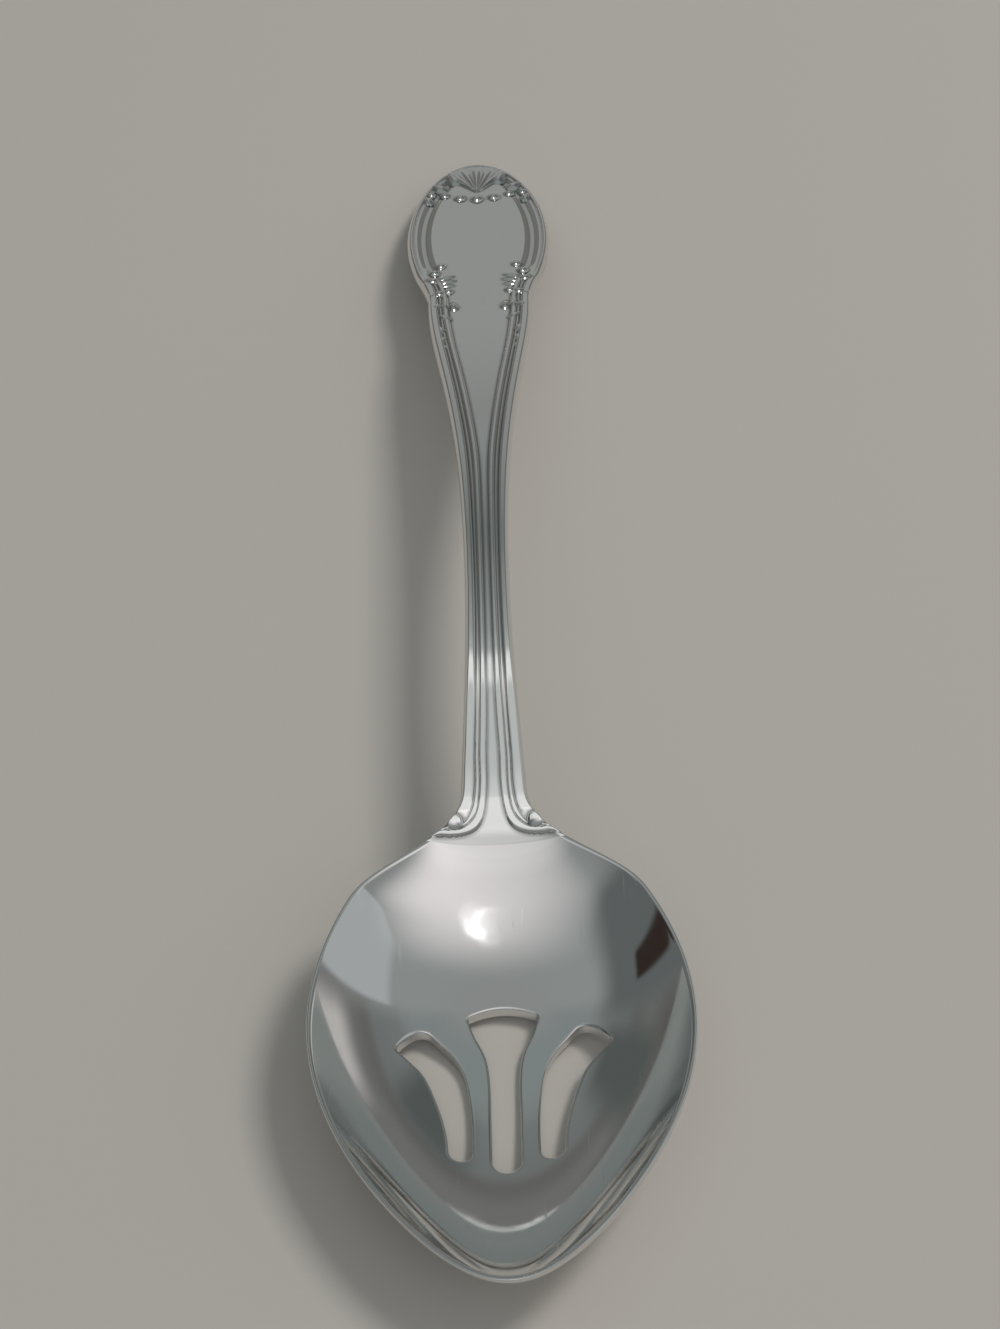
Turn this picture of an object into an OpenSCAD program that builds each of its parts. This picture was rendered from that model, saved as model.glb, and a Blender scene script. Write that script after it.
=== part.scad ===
// Slotted serving spoon in polished stainless steel, lying face up.
// The real spoon is one forging. It is drawn here as its four regions, which meet face to face
// at cuts square to its length: bowl, neck, shank and handle end.
// Every region is cut from one surface: a middle sheet, half a thickness above it and below it,
// and on the handle's face the raised pattern. Stations run from the bowl's tip to the handle's
// end, and the spoon rests on the bowl and on the end of the handle.

/* [Whole spoon] */
// Length from the bowl's tip to the end of the handle
spoon_l = 216; // [205:1:235]
// Height of the handle's crest above the rim of the bowl
arch_h = 7; // [4:0.5:10]
// How far the handle's end lies below the rim of the bowl before the spoon is set down
end_drop = 10.5; // [8:0.5:13]

/* [Bowl] */
// Length of the egg outline, which runs out inside the neck
bowl_l = 70; // [66:0.5:74]
// Width across the rim
bowl_w = 47.6; // [44:0.2:51]
// Depth of the middle of the wall below the rim
bowl_deep = 10.8; // [9:0.2:13]
// Thickness of the wall
bowl_wall = 1.5; // [1.2:0.1:2]
// How far in from the edge the rounding of the rim reaches
rim_round = 0.8; // [0.5:0.1:1.2]
// Thickness that is polished flat under the bowl, where the spoon rests
rest_flat = 0.24; // [0.2:0.02:0.32]

/* [Slots] */
// Width of the middle slot along its straight part
slot_w = 3.5; // [3:0.1:4]
// Width of the middle slot across its top corners
slot_top_w = 8.9; // [8:0.1:9.4]
// Length of the middle slot, from its round end to its top corners
slot_l = 22.8; // [20:0.2:24]
// Distance of the middle slot's round end from the bowl's tip
slot_from_tip = 20.5; // [18:0.5:22]
// Width of the metal between the middle slot and a side slot
web_w = 2.4; // [2:0.1:2.8]
// Width of a side slot at its round end
side_slot_w = 2.9; // [2.6:0.1:3.2]
// Length of a side slot, from its round end to its inner top corner
side_slot_l = 18.6; // [17:0.2:20]
// How far a side slot's outer top corner leans away from its round end
side_slot_lean = 7.8; // [7:0.1:8.4]
// How much farther up the bowl the side slots start
side_slot_up = 1.8; // [1:0.1:2.6]

/* [Handle] */
// Width of the shank at its narrowest
shank_w = 6.1; // [5.6:0.1:7]
// Width of the stem where it enters the bowl
root_w = 10; // [9:0.1:11]
// Width of the stem at the shoulders under the oval end
shoulder_w = 16; // [15:0.2:17]
// Width of the oval end
oval_w = 22.4; // [20:0.2:24]
// Length of the oval end
oval_l = 50; // [46:0.5:54]
// Thickness of the shank between its reeds and its back
shank_t = 2.8; // [2.4:0.1:3.4]
// Thickness of the handle at its end
end_t = 2; // [1.7:0.1:2.4]
// Radius to which the handle's edges are rounded
edge_round = 0.7; // [0.5:0.05:0.9]

/* [Pattern] */
// Width of the outer reed
outer_reed_w = 1.5; // [1.3:0.05:1.6]
// Width of the inner reed
inner_reed_w = 1.25; // [1.1:0.05:1.4]
// Width of the fine thread beside the middle panel
thread_w = 0.55; // [0.45:0.05:0.65]
// Height of the reeds
reed_h = 0.42; // [0.3:0.02:0.5]
// Width of the raised border round the oval end
border_w = 1.05; // [0.9:0.05:1.2]
// Width of the hollow inside that border
hollow_w = 2.7; // [2.3:0.1:3]
// Depth of that hollow
hollow_h = 0.22; // [0.12:0.02:0.3]
// Width of the largest beads
bead_w = 1.9; // [1.6:0.1:2.2]
// Height of the beads and leaves
bead_h = 0.5; // [0.35:0.05:0.6]
// Width of the scroll knob at each side of the neck
scroll_w = 2.5; // [2.1:0.1:2.8]
// Height of the scroll knob
scroll_h = 0.55; // [0.4:0.05:0.7]
// Length of the shell at the handle's end
shell_l = 10.5; // [9:0.5:11.5]

/* [Hidden] */

// Shares that shape the outline, the bowl's dish and the side view
egg_shares = [0.07, -0.27, -0.02];
shoulder_shares = [0.77, 1.015];
stem_start_share = 0.714;
deepest_share = 0.53;
dish_end_share = 0.97;
dish_square_share = 0.35;
back_crown_share = 0.35;
stem_root_shares = [1.4, 1, 0.64, 0.03, 0, 0, 0, 0, 0, 0, 0, 0];
stem_shoulder_shares = [0, 0, 0, 0, -0.02, 0.12, 0.58, 1.18, 0.59, -0.6, -1.8, -3];
rim_shares = [0.28, 0.06, -0.09, 0.19, 0.86, 1, 0, 0, 0, 0, 0];
fall_shares = [0, 0, 0, 0, 0, 0, 0.91, 0.66, 0.33, -0.05, -0.13];
neck_cut_share = 0.886;
shank_start_share = 1.086;
handle_cut_share = 0.7;

// Stations where one region ends and the next begins
bowl_end = neck_cut_share * bowl_l;
neck_end = shank_start_share * bowl_l;
shank_end = handle_cut_share * spoon_l;
oval_mid = spoon_l - oval_l / 2;
reeds_w = outer_reed_w + inner_reed_w + thread_w;
// Rounding between the stem's outline and the oval's
fillet_oval = 0.12 * shoulder_w;

// Counts of facets, along and across
bowl_rows = 44;
bowl_cols = 17;
neck_rows = 16;
shank_rows = 30;
end_rows = 52;
panel_cols = 2;
field_cols = 7;
bend_steps = 2;
arch_steps = 4;

// Smooth curve through the neighbourhood of evenly spaced heights
function spline_at(c, t) = let(i = min(max(floor(t), 0), len(c) - 4), f = t - i, g = 1 - f)
    (g ^ 3 * c[i] + (3 * f ^ 3 - 6 * f ^ 2 + 4) * c[i + 1]
    + (3 * g ^ 3 - 6 * g ^ 2 + 4) * c[i + 2] + f ^ 3 * c[i + 3]) / 6;
// The larger of two widths, rounded off over a fillet where they are near each other
function soft_max(a, b, fillet) = max(a, b) + max(fillet - abs(a - b), 0) ^ 2 / (4 * fillet);
// Rises smoothly from 0 to 1
function ease(t) = let(u = min(max(t, 0), 1)) u ^ 3 * (10 - 15 * u + 6 * u ^ 2);

// Half widths of the three outlines that join into one
function egg(u) = sqrt(max(1 - u ^ 2, 0))
    * (1 + egg_shares[0] * u + egg_shares[1] * u ^ 2 + egg_shares[2] * u ^ 3);
egg_widest = max([for (i = [-50 : 50]) egg(i / 50)]);
function egg_half(s) = bowl_w / 2 * egg(min(2 * s / bowl_l - 1, 1)) / egg_widest;
stem_curve = [for (i = [0 : len(stem_root_shares) - 1]) shank_w / 2
    + (root_w - shank_w) / 2 * stem_root_shares[i]
    + (shoulder_w - shank_w) / 2 * stem_shoulder_shares[i]];
stem_start = stem_start_share * bowl_l;
stem_step = (spoon_l - stem_start) / (len(stem_curve) - 3.7);
function stem_half(s) = spline_at(stem_curve, (s - stem_start) / stem_step);
function oval_half(s) = let(u = 2 * (s - oval_mid) / oval_l)
    oval_w / 2 * sqrt(max(1 - u * u, 0));
function shoulder(s) = ease((s / bowl_l - shoulder_shares[0]) / (shoulder_shares[1] - shoulder_shares[0]));
function half_w(s) = s < stem_start ? egg_half(s)
    : s < spoon_l / 2 ? egg_half(s) * (1 - shoulder(s)) + stem_half(s) * shoulder(s)
    : s < oval_mid ? soft_max(oval_half(s), stem_half(s), fillet_oval)
    : oval_half(s);
// Distance in from the outline, good near the edge, where it is used
function slope_part(s) = let(a = max(s - edge_round / 9, 0), b = min(s + edge_round / 9, spoon_l))
    (half_w(b) ^ 2 - half_w(a) ^ 2) / (2 * (b - a));
function edge_in(x, s, w, k) = max(w * w - x * x, 0) / (2 * sqrt(x * x + k * k) + edge_round / 1e5);

// Height of the outline in side view, before the spoon is set down
ridge_curve = [for (i = [0 : len(rim_shares) - 1]) i < 6 ? arch_h * rim_shares[i]
    : (arch_h + end_drop) * fall_shares[i] - end_drop];
function raw_ridge(s) = spline_at(ridge_curve, 8 * s / spoon_l);

// How deep the bowl's middle hangs below the rim, with one smooth curve each way
bowl_mid = deepest_share * bowl_l;
dish_out = dish_end_share * bowl_l - bowl_mid;
back_share = (1 - dish_square_share) * (dish_out / bowl_mid) ^ 2;
function hollow(u) = (1 - dish_square_share) * u ^ 2 + dish_square_share * u ^ 4;
function dish_along(s) = s < bowl_mid ? 1 - hollow((bowl_mid - s) / bowl_mid)
    : let(u = min((s - bowl_mid) / dish_out, 1))
    1 - back_share * u ^ 2 + (2 * back_share - 4) * u ^ 3 + (3 - back_share) * u ^ 4;
function dish(x, s, w) = bowl_deep * dish_along(s) * (1 - hollow(min(abs(x) / max(w, edge_round / 99), 1)));

// Half thickness: the bowl's wall, then the shank, thinning to the handle's end
function half_t(s) = (bowl_wall + (shank_t - bowl_wall) * ease((s - bowl_mid) / (neck_end - bowl_mid))
    + (end_t - shank_t) * ease((s - shank_w - spoon_l / 2) / (spoon_l / 2))) / 2;
function round_in(s) = rim_round + (edge_round - rim_round) * ease((s - bowl_mid) / (neck_end - bowl_mid));
// The wall keeps its thickness where the bowl's sides are steep
function lean(x, s, w) = let(v = min(abs(x) / max(w, edge_round), 1))
    sqrt(1 + (bowl_deep * dish_along(s) * (2 * v + 2 * dish_square_share * v ^ 3) / max(w, bowl_wall)) ^ 2);

// The handle's back is crowned, the bowl's isn't
function crown(x, s, w) = 1 - back_crown_share * (x / max(w, edge_round)) ^ 2
    * ease((s - bowl_mid) / (neck_end - bowl_mid));

// The spoon is set down on the bowl's middle and on the handle's end
function low_point(s) = raw_ridge(s) - bowl_deep * dish_along(s) - half_t(s);
low_bowl = min([for (i = [0 : 20]) low_point(bowl_mid + (i - 10) * bowl_l / 200)]);
low_end = min([for (i = [0 : 20]) raw_ridge(spoon_l - i * end_t / 10) - half_t(spoon_l)]);
tilt = (low_end - low_bowl) / (spoon_l - bowl_mid);
function ridge(s) = raw_ridge(s) - low_bowl - tilt * (s - bowl_mid) - rest_flat;

// A rounded reed and a round dome, one high at the middle
function reed(d, middle, width) = sqrt(max(1 - (2 * (d - middle) / width) ^ 2, 0));
function dome(x, s, at, width) = sqrt(max(1 - 4 * ((x - at[0]) ^ 2 + (s - at[1]) ^ 2) / width ^ 2, 0));

// The reeds draw together where the shank is too narrow for their full width
function crowd(w) = min(1, w * 0.9 / reeds_w);
reeds_start = bowl_end + root_w / 8;
reeds_end = oval_mid - oval_l * 0.32;
function reeds_on(s) = ease((s - reeds_start) / (root_w / 4)) * (1 - ease((s - reeds_end) / (oval_l / 6)));
function reeds_h(d) = reed_h * max(reed(d, outer_reed_w / 2, outer_reed_w),
    0.9 * reed(d, outer_reed_w + inner_reed_w / 2, inner_reed_w),
    0.6 * reed(d, outer_reed_w + inner_reed_w + thread_w / 2, thread_w));
function border_h(d) = d < border_w ? hollow_h * reed(d, border_w / 2, border_w)
    : -hollow_h * sin(180 * min((d - border_w) / hollow_w, 1));

// Scroll knobs at the neck, one each side
scroll_at = [0.54 * root_w, bowl_end + 0.31 * root_w];
// Places of the beads on the oval end: share of its half width, share of its length from the
// oval's middle, share of the largest bead
bead_shares = [
    [0.22, 0.25, 0.8], [0, 0.24, 1], [0.58, 0.33, 0.75], [0.5, 0.39, 0.6], [0.7, 0.25, 0.5],
    [0.54, -0.19, 0.65], [0.6, -0.235, 0.75], [0.62, -0.285, 0.8], [0.65, -0.34, 0.9], [0.58, -0.42, 1],
    [0.42, -0.43, 0.8], [0.32, -0.415, 0.6], [0.5, -0.56, 0.75], [0.49, -0.6, 0.65], [0.48, -0.635, 0.5]];
function bead_at(b) = [b[0] * oval_w / 2, oval_mid + b[1] * oval_l];
function beads_h(x, s) = bead_h * max([for (b = bead_shares) dome(abs(x), s, bead_at(b), b[2] * bead_w)]);
// A shell of fanned ribs fills the tip of the oval end
shell_foot = spoon_l - shell_l - bead_w / 2;
shell_spread = 52;
shell_ribs = 7;
function shell_h(x, s) = let(r = sqrt(x ^ 2 + (s - shell_foot) ^ 2) / shell_l, a = abs(atan2(x, s - shell_foot)))
    s < shell_foot || r > 1 || a > shell_spread ? 0
    : bead_h * sqrt(max(sin(180 * r), 0)) * (0.55 + 0.45 * cos(180 * shell_ribs * a / shell_spread));

// Everything that stands out of the face at one place
function relief(x, s, d, w) = s < reeds_start ? scroll_h * dome(abs(x), s, scroll_at, scroll_w)
    : max(scroll_h * dome(abs(x), s, scroll_at, scroll_w), reeds_on(s) * reeds_h(d / crowd(w)),
    s > reeds_end - bead_w * 4 ? beads_h(x, s) : 0, s > shell_foot ? shell_h(x, s) : 0)
    + (1 - reeds_on(s)) * (s > reeds_end ? border_h(d) : 0);

// How much of the thickness is there, rounded off at the edge
function edge_share(d, r) = d >= r ? 1 : sqrt(max(1 - (1 - d / r) ^ 2, 0));
function face(x, s, w, k) = let(d = edge_in(x, s, w, k), e = edge_share(d, round_in(s)))
    ridge(s) - dish(x, s, w) + half_t(s) * lean(x, s, w) * e + relief(x, s, d, w) * e;
function back(x, s, w, k) = let(d = edge_in(x, s, w, k), e = edge_share(d, round_in(s)))
    max(ridge(s) - dish(x, s, w) - half_t(s) * lean(x, s, w) * crown(x, s, w) * e, 0);

// Places across one station, from the left edge to the right, as shares of its half width
function even_columns(n) = [for (i = [-n : n]) sin(90 * i / n)];
reed_marks = [0.015, 0.06, 0.14, 0.23, 0.32, 0.41, 0.445, 0.5, 0.63, 0.76, 0.82, 0.85, 0.92, 1];
function half_columns(w, panel) = let(band = reeds_w * crowd(w) / w)
    concat([for (i = [0 : panel]) i / (panel + 1) * (1 - band)],
    [for (i = [len(reed_marks) - 1 : -1 : 0]) 1 - reed_marks[i] * band], [1]);
function reed_columns(w, panel) = let(h = half_columns(w, panel), n = len(h) - 1)
    [for (i = [-n : n]) i < 0 ? -h[-i] : h[i]];

// One ring of points round the spoon at a station, along the face and back under it
function ring(s, columns) = let(w = half_w(s), k = slope_part(s), n = len(columns) - 1, y = s - spoon_l / 2)
    concat([for (i = [0 : n]) let(x = w * columns[i]) [x, y, face(x, s, w, k)]],
    [for (i = [n - 1 : -1 : 1]) let(x = w * columns[i]) [x, y, back(x, s, w, k)]]);

// Closed solid through a list of rings. A first or last ring of no width becomes one point.
module skin(rings, pointed_start = false, pointed_end = false) {
    n = len(rings[0]);
    inner = [for (i = [pointed_start ? 1 : 0 : len(rings) - (pointed_end ? 2 : 1)]) rings[i]];
    m = len(inner);
    points = concat([for (r = inner) each r], [rings[0][0]], [rings[len(rings) - 1][0]]);
    sides = [for (i = [0 : m - 2], j = [0 : n - 1]) let(a = i * n + j, b = i * n + (j + 1) % n)
        each [[a, b, b + n], [a, b + n, a + n]]];
    half = n / 2;
    function cap(base, flip) = [for (j = [0 : half - 1]) let(a = base + j, b = base + j + 1,
        c = base + (n - j - 1) % n, d = base + (n - j) % n)
        each [for (t = j == 0 ? [[a, b, c]] : j == half - 1 ? [[a, b, d]] : [[a, b, c], [a, c, d]])
        flip ? t : [t[2], t[1], t[0]]]];
    start = pointed_start ? [for (j = [0 : n - 1]) [m * n, (j + 1) % n, j]] : cap(0, false);
    end = pointed_end ? [for (j = [0 : n - 1]) [m * n + 1, (m - 1) * n + j, (m - 1) * n + (j + 1) % n]]
        : cap((m - 1) * n, true);
    polyhedron(points, concat(sides, start, end), convexity = 8);
}

// Smooth curve that passes through every point of a list
function bend(p, i, t) = let(a = p[max(i - 1, 0)], b = p[i], c = p[i + 1], d = p[min(i + 2, len(p) - 1)])
    b + t / 2 * (c - a + t * (2 * a - 5 * b + 4 * c - d + t * (3 * b - a - 3 * c + d)));
function through(p) = [for (i = [0 : len(p) - 2], t = [0 : 1 / bend_steps : 0.99]) bend(p, i, t)];

// Flanks of the slots. Middle slot: share of its half width, share of its length.
middle_flank_shares = [[1, 0.08], [1, 0.36], [1.03, 0.61], [1.3, 0.77], [2.06, 0.9]];
// Side slot: share of its lean to the middle line, share of its half width, share of its length.
side_flank_shares = [[0, 1, 0.08], [0.02, 1.1, 0.25], [0.09, 1.35, 0.45], [0.22, 1.7, 0.66], [0.385, 2.1, 0.77]];
side_corner_shares = [[1, 0.845], [0.47, 1], [0.37, 0.96], [0.13, 0.86]];
top_rise_share = 0.05;
function flip_x(points) = [for (i = [len(points) - 1 : -1 : 0]) [-points[i][0], points[i][1]]];
// Points between two corners, on an arc that rises above the line between them
function arch(a, b, rise) = [for (i = [0 : arch_steps]) let(t = i / arch_steps)
    a + (b - a) * t + [0, 4 * rise * t * (1 - t)]];

// Middle slot with its round end at the origin, flaring to two sharp corners under an arched top
module middle_slot() {
    r = slot_w / 2;
    top = [slot_top_w / 2, slot_l];
    flank = through(concat([[r, r]], [for (p = middle_flank_shares) [p[0] * r, p[1] * slot_l]], [top]));
    translate([0, r]) circle(r = r, $fn = 32);
    polygon(concat(flank, arch(top, [-top[0], top[1]], top_rise_share * slot_l), flip_x(flank)));
}

// Side slot with its round end at the origin, leaning towards +X as it rises
module side_slot() {
    r = side_slot_w / 2;
    corners = [for (p = side_corner_shares) [p[0] * side_slot_lean, p[1] * side_slot_l]];
    outer = [for (p = side_flank_shares) [p[0] * side_slot_lean + p[1] * r, p[2] * side_slot_l]];
    inner = [for (i = [len(outer) - 1 : -1 : 0]) let(p = side_flank_shares[i])
        [p[0] * side_slot_lean - p[1] * r, p[2] * side_slot_l]];
    translate([0, r]) circle(r = r, $fn = 32);
    polygon(concat(through(concat([[r, r]], outer, [corners[0]])),
        arch(corners[0], corners[1], top_rise_share * side_slot_l),
        through(concat([corners[2], corners[3]], inner, [[-r, r]])), [[-r, r]]));
}

// The three slots, punched straight down through the bowl
module slots() {
    tall = bowl_deep + 2 * bowl_wall;
    linear_extrude(height = 2 * tall, center = true) translate([0, slot_from_tip - spoon_l / 2]) {
        middle_slot();
        for (side = [-1, 1]) scale([side, 1])
            translate([slot_w / 2 + web_w + side_slot_w / 2, side_slot_up]) side_slot();
    }
}

module bowl() {
    color("lightsteelblue") difference() {
        skin([for (i = [0 : bowl_rows]) ring(bowl_end * (i / bowl_rows) ^ 1.35, even_columns(bowl_cols))],
            pointed_start = true);
        slots();
    }
}

module neck() {
    color("silver") skin([for (i = [0 : neck_rows])
        let(s = bowl_end + (neck_end - bowl_end) * i / neck_rows)
        ring(s, reed_columns(half_w(s), panel_cols * 2))]);
}

module shank() {
    color("lightgray") skin([for (i = [0 : shank_rows])
        let(s = neck_end + (shank_end - neck_end) * i / shank_rows)
        ring(s, reed_columns(half_w(s), panel_cols))]);
}

module handle_end() {
    color("gainsboro") skin([for (i = [0 : end_rows])
        let(s = shank_end + (spoon_l - shank_end) * sin(90 * (i / end_rows) ^ 1.2))
        ring(s, reed_columns(max(half_w(s), edge_round / 99), field_cols))], pointed_end = true);
}

bowl();
neck();
shank();
handle_end();
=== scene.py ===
# Slotted serving spoon in polished stainless steel, lying face up on a pale floor.
# The real spoon is one forging. It is dressed here as its four regions, which share one surface.
import math
import bpy
import numpy as np
from mathutils import Matrix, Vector
from mathutils.geometry import delaunay_2d_cdt


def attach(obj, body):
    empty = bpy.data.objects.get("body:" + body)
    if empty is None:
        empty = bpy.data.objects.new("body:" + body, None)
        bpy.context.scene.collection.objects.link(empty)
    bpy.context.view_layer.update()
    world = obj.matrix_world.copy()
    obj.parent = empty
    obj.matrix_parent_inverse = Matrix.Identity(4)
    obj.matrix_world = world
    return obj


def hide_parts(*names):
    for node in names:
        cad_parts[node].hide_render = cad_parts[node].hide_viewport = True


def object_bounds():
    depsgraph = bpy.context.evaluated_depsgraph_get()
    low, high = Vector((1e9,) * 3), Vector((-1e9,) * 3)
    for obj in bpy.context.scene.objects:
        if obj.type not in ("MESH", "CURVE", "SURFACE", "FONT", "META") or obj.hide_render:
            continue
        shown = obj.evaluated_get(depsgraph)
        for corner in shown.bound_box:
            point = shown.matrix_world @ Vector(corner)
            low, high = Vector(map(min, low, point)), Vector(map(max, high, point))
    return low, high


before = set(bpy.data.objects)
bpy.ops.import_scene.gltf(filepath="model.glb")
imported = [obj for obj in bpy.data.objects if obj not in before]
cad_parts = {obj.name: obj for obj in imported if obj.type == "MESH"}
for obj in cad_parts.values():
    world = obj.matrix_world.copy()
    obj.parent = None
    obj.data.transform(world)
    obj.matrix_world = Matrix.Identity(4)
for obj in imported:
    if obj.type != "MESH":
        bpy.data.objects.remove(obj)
cad_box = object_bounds()

# Sizes here are in millimetres of the spoon. It is drawn a hair small, to stay inside its solids.
spoon_l, hair_small = 216.0, 0.9999
mm = (cad_box[1].y - cad_box[0].y) / spoon_l * hair_small

# The camera looks down along the handle from behind the bowl's tip, as someone would who holds
# it over a table. It is turned and rolled a little, as a hand does.
camera_at = (4.7, -282.9, 305.5)
look_down, look_left, roll = 47.45, 0.73, -2.93
focal_px, frame_px, sensor = 2960, 1329, 36
camera_data = bpy.data.cameras.new("view_along_handle")
camera_data.sensor_width = sensor
camera_data.lens = focal_px * sensor / frame_px
camera = bpy.data.objects.new("view_along_handle", camera_data)
bpy.context.scene.collection.objects.link(camera)
camera.matrix_world = (Matrix.Translation([c * mm for c in camera_at])
                       @ Matrix.Rotation(math.radians(look_left), 4, "Z")
                       @ Matrix.Rotation(math.radians(90 - look_down), 4, "X")
                       @ Matrix.Rotation(math.radians(roll), 4, "Z"))
bpy.context.scene.camera = camera

# The bowl: stainless sheet dished between dies, pierced with three slots while still flat in the
# middle, then trimmed and rolled round at the rim and polished bright.
bowl_l, bowl_w, bowl_deep, bowl_wall, rim_round = 70.0, 47.6, 10.8, 1.5, 0.8
shank_w, root_w, shoulder_w, shank_t, end_t, edge_round = 6.1, 10.0, 16.0, 2.8, 2.0, 0.7
oval_w, oval_l = 22.4, 50.0
arch_h, end_drop, rest_flat = 7.0, 10.5, 0.24
bowl_end, neck_end, shank_end = 0.886 * bowl_l, 1.086 * bowl_l, 0.7 * spoon_l
oval_mid = spoon_l - oval_l / 2
stem_start, bowl_mid = 0.714 * bowl_l, 0.53 * bowl_l
dish_out, dish_square = 0.97 * bowl_l - bowl_mid, 0.35
back_thins = 0.35
step, tiny, touching = 0.02, 1e-9, 1e-6


def ease(t):
    """Rises smoothly from 0 to 1."""
    t = np.clip(t, 0, 1)
    return t ** 3 * (10 - 15 * t + 6 * t * t)


def spline_at(heights, t):
    """Smooth curve through the neighbourhood of evenly spaced heights."""
    heights = np.asarray(heights)
    i = np.clip(np.floor(t).astype(int), 0, len(heights) - 4)
    f = t - i
    g = 1 - f
    return (g ** 3 * heights[i] + (3 * f ** 3 - 6 * f ** 2 + 4) * heights[i + 1]
            + (3 * g ** 3 - 6 * g ** 2 + 4) * heights[i + 2] + f ** 3 * heights[i + 3]) / 6


def soft_max(a, b, fillet):
    """The greater of two values, with a fillet where they cross."""
    return np.maximum(a, b) + np.maximum(fillet - abs(a - b), 0) ** 2 / (4 * fillet)


root_shares = np.array([1.4, 1, 0.64, 0.03, 0, 0, 0, 0, 0, 0, 0, 0])
shoulder_shares = np.array([0, 0, 0, 0, -0.02, 0.12, 0.58, 1.18, 0.59, -0.6, -1.8, -3])
stem_halves = (shank_w / 2 + (root_w - shank_w) / 2 * root_shares
               + (shoulder_w - shank_w) / 2 * shoulder_shares)
stem_steps = 8.3
stem_step = (spoon_l - stem_start) / stem_steps
egg_shares = (0.07, -0.27, -0.02)
shoulder_from, shoulder_run = 0.77, 0.245
oval_fillet = 0.12 * shoulder_w


def egg(u):
    """How much fuller or leaner than an ellipse the bowl's outline is."""
    return 1 + egg_shares[0] * u + egg_shares[1] * u ** 2 + egg_shares[2] * u ** 3


egg_u = np.linspace(-1, 1, 101)
egg_widest = (np.sqrt(1 - egg_u ** 2) * egg(egg_u)).max()


def width_squared(s):
    """Square of half the spoon's width at a station s from the bowl's tip. Below 0 past its ends."""
    u = 2 * s / bowl_l - 1
    bowl = (bowl_w / 2 * egg(u) / egg_widest) ** 2 * (1 - u * u)
    stem = spline_at(stem_halves, (s - stem_start) / stem_step)
    blend = ease((s / bowl_l - shoulder_from) / shoulder_run)
    shoulder = (np.sqrt(np.maximum(bowl, 0)) * (1 - blend) + stem * blend) ** 2
    oval = (oval_w / 2) ** 2 * (1 - ((s - oval_mid) / (oval_l / 2)) ** 2)
    widening = soft_max(np.sqrt(np.maximum(oval, 0)), stem, oval_fillet) ** 2
    return np.where(s < stem_start, bowl, np.where(s < spoon_l / 2, shoulder,
                                                   np.where(s < oval_mid, widening, oval)))


def half_width(s):
    return np.sqrt(np.maximum(width_squared(s), tiny))


def edge_in(x, s):
    """Distance in from the outline, good near the edge, where it is used."""
    slope = (width_squared(s + step) - width_squared(s - step)) / (4 * step)
    return (width_squared(s) - x * x) / (2 * np.sqrt(x * x + slope * slope) + tiny)


rise_shares = np.array([0.28, 0.06, -0.09, 0.19, 0.86, 1])
fall_shares = np.array([0.91, 0.66, 0.33, -0.05, -0.13])
ridge_heights = np.concatenate([arch_h * rise_shares, (arch_h + end_drop) * fall_shares - end_drop])
ridge_spans = len(ridge_heights) - 3


def raw_ridge(s):
    """Height of the spoon's middle line from rim to handle's end, before it is set down."""
    return spline_at(ridge_heights, ridge_spans * s / spoon_l)


def hollow(u):
    """How far the bowl's curve has risen, from 0 in its middle to 1 at its rim."""
    return (1 - dish_square) * u ** 2 + dish_square * u ** 4


def dish_along(s):
    """Depth along the bowl's middle line, as a share of its greatest depth."""
    back_share = (1 - dish_square) * (dish_out / bowl_mid) ** 2
    u = np.clip((s - bowl_mid) / dish_out, 0, 1)
    return np.where(s < bowl_mid, 1 - hollow((bowl_mid - s) / bowl_mid),
                    1 - back_share * u ** 2 + (2 * back_share - 4) * u ** 3 + (3 - back_share) * u ** 4)


def half_thickness(s):
    return (bowl_wall + (shank_t - bowl_wall) * ease((s - bowl_mid) / (neck_end - bowl_mid))
            + (end_t - shank_t) * ease((s - shank_w - spoon_l / 2) / (spoon_l / 2))) / 2


bowl_low = min(raw_ridge(s) - bowl_deep * dish_along(s) - half_thickness(s)
               for s in bowl_mid + np.arange(-10, 11) * bowl_l / 200)
end_low = min(raw_ridge(s) - half_thickness(spoon_l) for s in spoon_l - np.arange(21) * end_t / 10)
tilt = (end_low - bowl_low) / (spoon_l - bowl_mid)


def middle_height(x, s):
    """Height of the middle of the metal, with the spoon set down on its bowl and its handle's end."""
    across = abs(x) / half_width(s)
    ridge = raw_ridge(s) - bowl_low - tilt * (s - bowl_mid) - rest_flat
    return ridge - bowl_deep * dish_along(s) * (1 - hollow(across))


def metal_above(x, s, side, raised):
    """Metal between the middle and the face (side 1) or the back (side -1)."""
    across = abs(x) / half_width(s)
    dished = bowl_deep * dish_along(s) * (2 * across + 2 * dish_square * across ** 3)
    metal = half_thickness(s) * np.sqrt(1 + (dished / np.maximum(half_width(s), bowl_wall)) ** 2)
    if side > 0:
        return metal + raised(x, s)
    return metal * (1 - back_thins * across ** 2 * ease((s - bowl_mid) / (neck_end - bowl_mid)))


def rounding(s):
    return rim_round + (edge_round - rim_round) * ease((s - bowl_mid) / (neck_end - bowl_mid))


def plain(x, s):
    return 0 * x


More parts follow.
